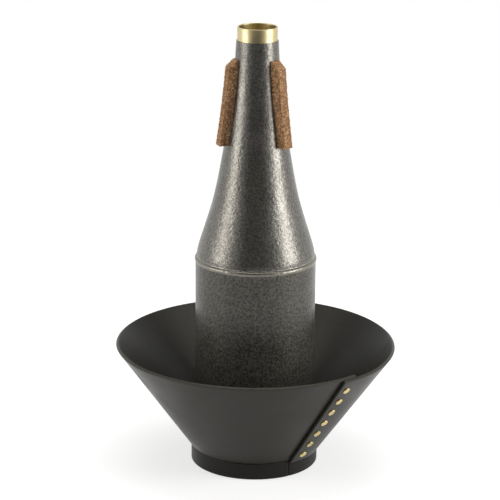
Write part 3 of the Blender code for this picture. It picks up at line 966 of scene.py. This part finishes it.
# %% Geometry tree for cork granules
def make_crumb_tree():
    """Geometry tree that cuts crevices between granules and stores tone and crevice."""
    numbers = {"Granule": 0.0012, "Crevice Depth": 0.00025, "Crumb Depth": 0.00015, "Seed": 0.0}
    sockets = [(label, FLOAT_SOCKET, value) for label, value in numbers.items()]
    tree, take, give = new_shape_tree("cork_crumb", sockets)
    place = put(tree, "GeometryNodeInputPosition").outputs[0]
    scale = calc(tree, "DIVIDE", 1.0, take["Granule"])
    cells = {"Vector": place, "W": take["Seed"], "Scale": scale, "Randomness": 1.0}
    edges = put(tree, "ShaderNodeTexVoronoi", cells, voronoi_dimensions="4D", feature="DISTANCE_TO_EDGE")
    tones = put(tree, "ShaderNodeTexVoronoi", cells, voronoi_dimensions="4D", feature="F1")
    tone = put(tree, "FunctionNodeSeparateColor", {0: tones.outputs["Color"]}).outputs[0]
    crevice = ramp(tree, edges.outputs["Distance"], 0.02, 0.16, 1.0, 0.0)
    finer = calc(tree, "MULTIPLY", scale, 1.7)
    inputs = {"Vector": place, "W": take["Seed"], "Scale": finer, "Detail": 2.0}
    crumb = put(tree, "ShaderNodeTexNoise", inputs, noise_dimensions="4D").outputs[0]
    cut = calc(tree, "MULTIPLY", crevice, calc(tree, "MULTIPLY", take["Crevice Depth"], -1.0))
    swell = calc(tree, "MULTIPLY", calc(tree, "SUBTRACT", crumb, 0.5), take["Crumb Depth"])
    step = calc(tree, "MULTIPLY", calc(tree, "SUBTRACT", tone, 0.5), take["Crumb Depth"])
    amount = calc(tree, "ADD", calc(tree, "ADD", cut, swell), step)
    shape = take["Geometry"]
    for name, value in ((TONE_ATTRIBUTE, tone), (CREVICE_ATTRIBUTE, crevice)):
        inputs = {"Geometry": shape, "Name": name, "Value": value}
        keep = put(tree, "GeometryNodeStoreNamedAttribute", inputs, data_type="FLOAT", domain="POINT")
        shape = keep.outputs[0]
    end_tree(tree, take, give, push_out(tree, shape, amount))
    return tree


crumb_tree = make_crumb_tree()

# %% Bend a box of small faces into a strip
CORK_CRUMB = {"Granule": 0.0012, "Crevice Depth": 0.00028, "Crumb Depth": 0.00028, "Material": cork}
CORK_CELL = 0.00033
CORK_SINK = 0.0003
CHAMFER = 0.0050
CHAMFER_EDGE = 0.0010


def cone_radius(height):
    """Radius of the cone's outer side at a height."""
    radii, heights = zip(*reversed(outer_side))
    return float(np.interp(height, heights, radii))


def box_lattice(counts):
    """Points and faces of a box's skin on the unit cube, with a number of cells each way."""
    found = {}
    faces = []

    def point(cell):
        return found.setdefault(cell, len(found))

    for axis in range(3):
        first, second = [other for other in range(3) if other != axis]
        for level in (0, counts[axis]):
            for row in range(counts[first]):
                for column in range(counts[second]):
                    corners = []
                    for step_row, step_column in ((0, 0), (1, 0), (1, 1), (0, 1)):
                        cell = [0, 0, 0]
                        cell[axis] = level
                        cell[first] = row + step_row
                        cell[second] = column + step_column
                        corners.append(point(tuple(cell)))
                    faces.append(corners)
    points = [tuple(cell[axis] / counts[axis] for axis in range(3)) for cell in found]
    return points, faces


def make_cork_pad(name, node, seed):
    """A cork strip in the place of a CAD node, with its own granules."""
    points = cad_points(node)
    middle = azimuth_of(points.mean(axis=0))
    outward = np.array([math.sin(middle), -math.cos(middle)])
    sideways = np.array([math.cos(middle), math.sin(middle)])
    across = points[:, :2] @ sideways
    width = across.max() - across.min()
    bottom, top = points[:, 2].min(), points[:, 2].max()
    thickness = (points[:, :2] @ outward).max() - cone_radius(bottom)
    counts = [max(2, round(size / CORK_CELL)) for size in (width, thickness, top - bottom)]
    lattice, faces = box_lattice(counts)
    bent = []
    for side_share, out_share, up_share in lattice:
        height = bottom + (top - bottom) * up_share
        offset = (side_share - 0.5) * width
        radius = cone_radius(height)
        seat = math.sqrt(radius * radius - offset * offset) - CORK_SINK
        slope = min(1.0, (top - height) / CHAMFER)
        outer = radius + CHAMFER_EDGE + (thickness - CHAMFER_EDGE) * slope
        reach = seat + (outer - seat) * out_share
        place = outward * reach + sideways * offset
        bent.append((place[0], place[1], height))
    thing = new_piece(name)
    thing.data.from_pydata(bent, [], faces)
    shape = bmesh.new()
    shape.from_mesh(thing.data)
    bmesh.ops.recalc_face_normals(shape, faces=shape.faces)
    shape.to_mesh(thing.data)
    shape.free()
    thing.data.shade_smooth()
    run_tree(thing, crumb_tree, {**CORK_CRUMB, "Seed": seed})
    finish_mesh(settle(thing), cork, smooth_angle=180.0)
    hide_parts(node)
    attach(thing, "mute_body")


for number in (1, 2, 3):
    make_cork_pad("cork_pad_%d" % number, "cork_strip_%d" % number, 10.0 * number)

# %% [markdown]
# ## The rolled cup
# The cup is one flat sheet rolled until its ends lap, and its shape follows a rule: the
# azimuth and the distance up the slope give every point. Over the lap it stands off by one
# thickness and then eases down. That is a geometry tree with the real sizes as its inputs, and
# the collar below is the same tree with both radii equal and its ends meeting in a butt joint.

# %% Geometry tree for a rolled sheet
def make_roll_tree():
    """Geometry tree that rolls a grid into a lapped cone or a band. Angles in radians."""
    lengths = ["Foot Radius", "Foot Height", "Rim Radius", "Rim Height"]
    lengths += ["Start Margin", "End Margin", "Lap Lift", "Seam Azimuth", "Lap Ease", "Waver"]
    sockets = [(label, FLOAT_SOCKET, 0.0) for label in lengths]
    sockets += [("Steps", COUNT_SOCKET, 400), ("Rows", COUNT_SOCKET, 40)]
    tree, take, give = new_shape_tree("rolled_sheet", sockets)
    size = {"Size X": 1.0, "Size Y": 1.0, "Vertices X": take["Steps"], "Vertices Y": take["Rows"]}
    grid = put(tree, "GeometryNodeMeshGrid", size).outputs["Mesh"]
    point = put(tree, "GeometryNodeInputPosition").outputs[0]
    x, y = put(tree, "ShaderNodeSeparateXYZ", {0: point}).outputs[:2]
    along = calc(tree, "ADD", x, 0.5)
    up = calc(tree, "ADD", y, 0.5)

    def between(share, first, second):
        return calc(tree, "MULTIPLY_ADD", share, calc(tree, "SUBTRACT", second, first), first)

    radius = between(up, take["Foot Radius"], take["Rim Radius"])
    height = between(up, take["Foot Height"], take["Rim Height"])
    start = calc(tree, "SUBTRACT", take["Seam Azimuth"], calc(tree, "DIVIDE", take["Start Margin"], radius))
    turn_end = calc(tree, "ADD", take["Seam Azimuth"], 2.0 * math.pi)
    end = calc(tree, "ADD", turn_end, calc(tree, "DIVIDE", take["End Margin"], radius))
    azimuth = between(along, start, end)
    lap_reach = calc(tree, "DIVIDE", take["End Margin"], take["Foot Radius"])
    lap_end = calc(tree, "ADD", take["Seam Azimuth"], lap_reach)
    eased = calc(tree, "ADD", lap_end, take["Lap Ease"])
    raised = ramp(tree, azimuth, lap_end, eased, take["Lap Lift"], 0.0)
    run = calc(tree, "SUBTRACT", take["Rim Radius"], take["Foot Radius"])
    climb = calc(tree, "SUBTRACT", take["Rim Height"], take["Foot Height"])
    slant = put(tree, "ShaderNodeCombineXYZ", {0: run, 2: climb}).outputs[0]
    slope = put(tree, "ShaderNodeVectorMath", {0: slant}, operation="NORMALIZE").outputs[0]
    slope_out, _, slope_up = put(tree, "ShaderNodeSeparateXYZ", {0: slope}).outputs
    sine = calc(tree, "SINE", azimuth)
    cosine = calc(tree, "COSINE", azimuth)
    circle = put(tree, "ShaderNodeCombineXYZ", {0: sine, 1: cosine}).outputs[0]
    settings = {"Vector": circle, "Scale": 1.3, "Detail": 2.0}
    ripple = put(tree, "ShaderNodeTexNoise", settings).outputs[0]
    wander = calc(tree, "MULTIPLY", calc(tree, "SUBTRACT", ripple, 0.5), up)
    stand_off = calc(tree, "MULTIPLY_ADD", wander, take["Waver"], raised)
    radius = calc(tree, "MULTIPLY_ADD", stand_off, slope_up, radius)
    height = calc(tree, "SUBTRACT", height, calc(tree, "MULTIPLY", stand_off, slope_out))
    right = calc(tree, "MULTIPLY", radius, sine)
    back = calc(tree, "MULTIPLY", calc(tree, "MULTIPLY", radius, cosine), -1.0)
    place = put(tree, "ShaderNodeCombineXYZ", {0: right, 1: back, 2: height}).outputs[0]
    rolled = put(tree, "GeometryNodeSetPosition", {"Geometry": grid, "Position": place}).outputs[0]
    end_tree(tree, take, give, rolled)
    return tree


roll_tree = make_roll_tree()

# %% Roll the cup
LAP_BEFORE = 0.0064
LAP_AFTER = 0.0050
LAP_EASE = math.radians(65.0)
LAP_GAP = 0.0003
CUP_WAVER = 0.0012
CUT_ROUND = 0.00035

rivet_nodes = sorted(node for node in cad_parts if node.startswith("seam_rivet"))
seam_azimuth = float(np.mean([azimuth_of(cad_points(node).mean(axis=0)) for node in rivet_nodes]))
cup_points = cad_points("cup_cone")
facing = azimuth_of(cup_points)
opposite = cup_points[np.cos(facing - seam_azimuth) < -0.8]
opposite_radius = np.hypot(opposite[:, 0], opposite[:, 1])
CUP_RIM = (opposite_radius.max(), opposite[opposite_radius.argmax(), 2])
CUP_FOOT = (opposite_radius[opposite[:, 2].argmin()], opposite[:, 2].min())
crest = opposite[:, 2].argmax()
SHEET = math.hypot(CUP_RIM[0] - opposite_radius[crest], opposite[crest, 2] - CUP_RIM[1])
LAP_LIFT = SHEET + LAP_GAP


def roll_piece(name, foot, rim, margins, lift, waver, counts, wall, material):
    """Roll a sheet with the tree, thicken it inwards and round its cut edges."""
    thing = new_piece(name)
    values = {
        "Foot Radius": foot[0], "Foot Height": foot[1], "Rim Radius": rim[0], "Rim Height": rim[1],
        "Start Margin": margins[0], "End Margin": margins[1], "Lap Lift": lift, "Lap Ease": LAP_EASE,
        "Seam Azimuth": seam_azimuth, "Waver": waver, "Steps": counts[0], "Rows": counts[1],
        "Material": material,
    }
    run_tree(thing, roll_tree, values)
    shell = thing.modifiers.new("wall", "SOLIDIFY")
    shell.thickness = wall
    shell.offset = -1.0
    shell.use_even_offset = True
    rounding = thing.modifiers.new("cut_edges", "BEVEL")
    rounding.width = CUT_ROUND
    rounding.segments = 3
    rounding.limit_method = "ANGLE"
    rounding.angle_limit = math.radians(50.0)
    return finish_mesh(settle(thing), material, smooth_angle=50.0, edge_reach=0.0012, edge_angle=20.0)


cup_sheet = roll_piece(
    "cup_sheet",
    foot=CUP_FOOT,
    rim=CUP_RIM,
    margins=(LAP_BEFORE, LAP_AFTER),
    lift=LAP_LIFT,
    waver=CUP_WAVER,
    counts=(440, 44),
    wall=SHEET,
    material=cup_fibre,
)
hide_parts("cup_cone")
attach(cup_sheet, "cup")
print("Cup: foot %.4f at %.4f, rim %.4f at %.4f, sheet %.4f" % (*CUP_FOOT, *CUP_RIM, SHEET))

# %% Roll the collar
COLLAR_WALL = 0.0012
COLLAR_SLIT = 0.0004
COLLAR_TUCK = 0.0002
collar_low, collar_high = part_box("cup_collar")
collar_radius = float(reaches("cup_collar")[1])
collar_band = roll_piece(
    "collar_band",
    foot=(collar_radius, collar_low.z),
    rim=(collar_radius, collar_high.z + COLLAR_TUCK),
    margins=(LAP_BEFORE - COLLAR_SLIT / 2.0, -LAP_BEFORE - COLLAR_SLIT / 2.0),
    lift=0.0,
    waver=0.0,
    counts=(300, 12),
    wall=COLLAR_WALL,
    material=collar_fibre,
)
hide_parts("cup_collar")
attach(collar_band, "cup")

# %% [markdown]
# ## The rivets
# Seven brass rivets hold the lap. They repeat, so a geometry tree sets copies of one turned
# rivet along a line, each facing out of the sheet, with a small seeded turn and tilt, because
# no two are hammered quite alike. The first and the last take their places from the CAD.

# %% Geometry tree for a row of rivets
def make_rivet_tree():
    """Geometry tree that sets copies of a rivet along a line, facing one way."""
    sockets = [("Rivet", "NodeSocketObject", None), ("Count", COUNT_SOCKET, 7)]
    sockets += [(label, VECTOR_SOCKET, None) for label in ("First", "Last", "Outward", "Along")]
    sockets += [("Tilt", FLOAT_SOCKET, 0.03), ("Seed", COUNT_SOCKET, 0)]
    tree, take, give = new_shape_tree("rivet_row", sockets)
    ends = {"Count": take["Count"], "Start Location": take["First"], "Offset": take["Last"]}
    line = put(tree, "GeometryNodeMeshLine", ends, mode="END_POINTS").outputs["Mesh"]
    rivet = put(tree, "GeometryNodeObjectInfo", {"Object": take["Rivet"]}).outputs["Geometry"]
    axes = {0: take["Outward"], 1: take["Along"]}
    stand = put(tree, "FunctionNodeAxesToRotation", axes, primary_axis="Z", secondary_axis="X").outputs[0]
    other_way = calc(tree, "MULTIPLY", take["Tilt"], -1.0)
    low = put(tree, "ShaderNodeCombineXYZ", {0: other_way, 1: other_way})
    high = put(tree, "ShaderNodeCombineXYZ", {0: take["Tilt"], 1: take["Tilt"], 2: 2.0 * math.pi})
    spread = {"Min": low.outputs[0], "Max": high.outputs[0], "Seed": take["Seed"]}
    turn = put(tree, "FunctionNodeRandomValue", spread, data_type="FLOAT_VECTOR").outputs[0]
    wobble = put(tree, "FunctionNodeEulerToRotation", {0: turn}).outputs[0]
    turned_by = {0: stand, 1: wobble}
    facing = put(tree, "FunctionNodeRotateRotation", turned_by, rotation_space="LOCAL").outputs[0]
    inputs = {"Points": line, "Instance": rivet, "Rotation": facing}
    end_tree(tree, take, give, put(tree, "GeometryNodeInstanceOnPoints", inputs).outputs[0])
    return tree


rivet_tree = make_rivet_tree()

# %% Set the rivets
HEAD_RADIUS = 0.00265
HEAD_HEIGHT = 0.0010
HEAD_EDGE = 0.00022
SHANK_RADIUS = 0.0012
TAIL_RADIUS = 0.0020
TAIL_HEIGHT = 0.0007
HEAD_GAP = 0.0003
HEAD_BULGE = 0.8
TAIL_ROUND = 0.00035

seam = np.array([math.sin(seam_azimuth), -math.cos(seam_azimuth), 0.0])
slant = (CUP_RIM[0] - CUP_FOOT[0]) * seam + np.array([0.0, 0.0, CUP_RIM[1] - CUP_FOOT[1]])
slant /= np.linalg.norm(slant)
outward = slant[2] * seam - np.array([0.0, 0.0, slant @ seam])


def rivet_seat(node):
    """The point on the lap's outer side under a CAD rivet's head."""
    points = cad_points(node)
    centre = points.mean(axis=0)
    head_top = (points @ outward).max()
    return centre + outward * (head_top - HEAD_HEIGHT - HEAD_GAP - centre @ outward)


dome_angles = np.radians(np.linspace(4.0, 84.0, 11))
dome_height = HEAD_HEIGHT - HEAD_EDGE
dome = [(HEAD_RADIUS * math.sin(a), HEAD_EDGE + dome_height * math.cos(a) ** HEAD_BULGE) for a in dome_angles]
tail_seat = -(LAP_LIFT + SHEET)
tail_dip = tail_seat - TAIL_HEIGHT * 0.4
rivet_profile = [(AXIS, HEAD_HEIGHT)] + dome
rivet_profile += [(HEAD_RADIUS, HEAD_EDGE), (HEAD_RADIUS * 0.985, 0.0), (SHANK_RADIUS, 0.0)]
rivet_profile += [(SHANK_RADIUS, tail_seat), (TAIL_RADIUS, tail_seat)]
rivet_profile += arc((TAIL_RADIUS - TAIL_ROUND, tail_seat - TAIL_ROUND), TAIL_ROUND, 0.0, -90.0, 4)
rivet_profile += [(SHANK_RADIUS, tail_seat - TAIL_HEIGHT), (SHANK_RADIUS * 0.6, tail_dip), (AXIS, tail_dip)]
pattern_rivet = turned("pattern_rivet", rivet_profile, 40)
pattern_rivet.data.shade_smooth()

lap_rivets = new_piece("lap_rivets")
values = {
    "Rivet": pattern_rivet,
    "Count": len(rivet_nodes),
    "First": rivet_seat(rivet_nodes[0]).tolist(),
    "Last": rivet_seat(rivet_nodes[-1]).tolist(),
    "Outward": outward.tolist(),
    "Along": slant.tolist(),
    "Tilt": 0.035,
    "Seed": 5,
    "Material": rivet_brass,
}
run_tree(lap_rivets, rivet_tree, values)
finish_mesh(settle(lap_rivets), rivet_brass, edge_reach=0.0004, edge_angle=30.0)
bpy.data.objects.remove(pattern_rivet, do_unlink=True)
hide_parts(*rivet_nodes)
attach(lap_rivets, "cup")

# %% [markdown]
# ## The felt lining
# The band of felt between collar and sleeve is soft, so its edges are full rounds, and the
# swell tree gives it the uneven thickness of pressed wool.

# %% Turn the lining
lining_low, lining_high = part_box("grip_lining")
felt_inner, felt_outer = reaches("grip_lining")
felt_half = (felt_outer - felt_inner) / 2.0
felt_middle = felt_inner + felt_half
felt_top = lining_high.z - felt_half
felt_foot = lining_low.z + felt_half
felt_rows = np.linspace(felt_top, felt_foot, 9)[1:-1]
felt_profile = arc((felt_middle, felt_top), felt_half, 180.0, 0.0, 10)
felt_profile += [(felt_outer, height) for height in felt_rows]
felt_profile += arc((felt_middle, felt_foot), felt_half, 0.0, -180.0, 10)
felt_profile += [(felt_inner, height) for height in reversed(felt_rows)]
felt_band = turned("felt_band", felt_profile, FINE_STEPS)
dress(felt_band, felt, size=0.002, depth=0.00035, seed=12.0)
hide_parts("grip_lining")
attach(felt_band, "grip_ring")

# %% [markdown]
# ## The size
# The dressed mute has to stay the size of the CAD model, so its box is measured and printed
# in millimetres before the script ends.

# %% Measure the dressed box
visual_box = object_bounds()
growth = [round((high - low) * 1000.0, 2) for low, high in zip(visual_box[0], visual_box[1])]
print("Visual size in mm:", growth)
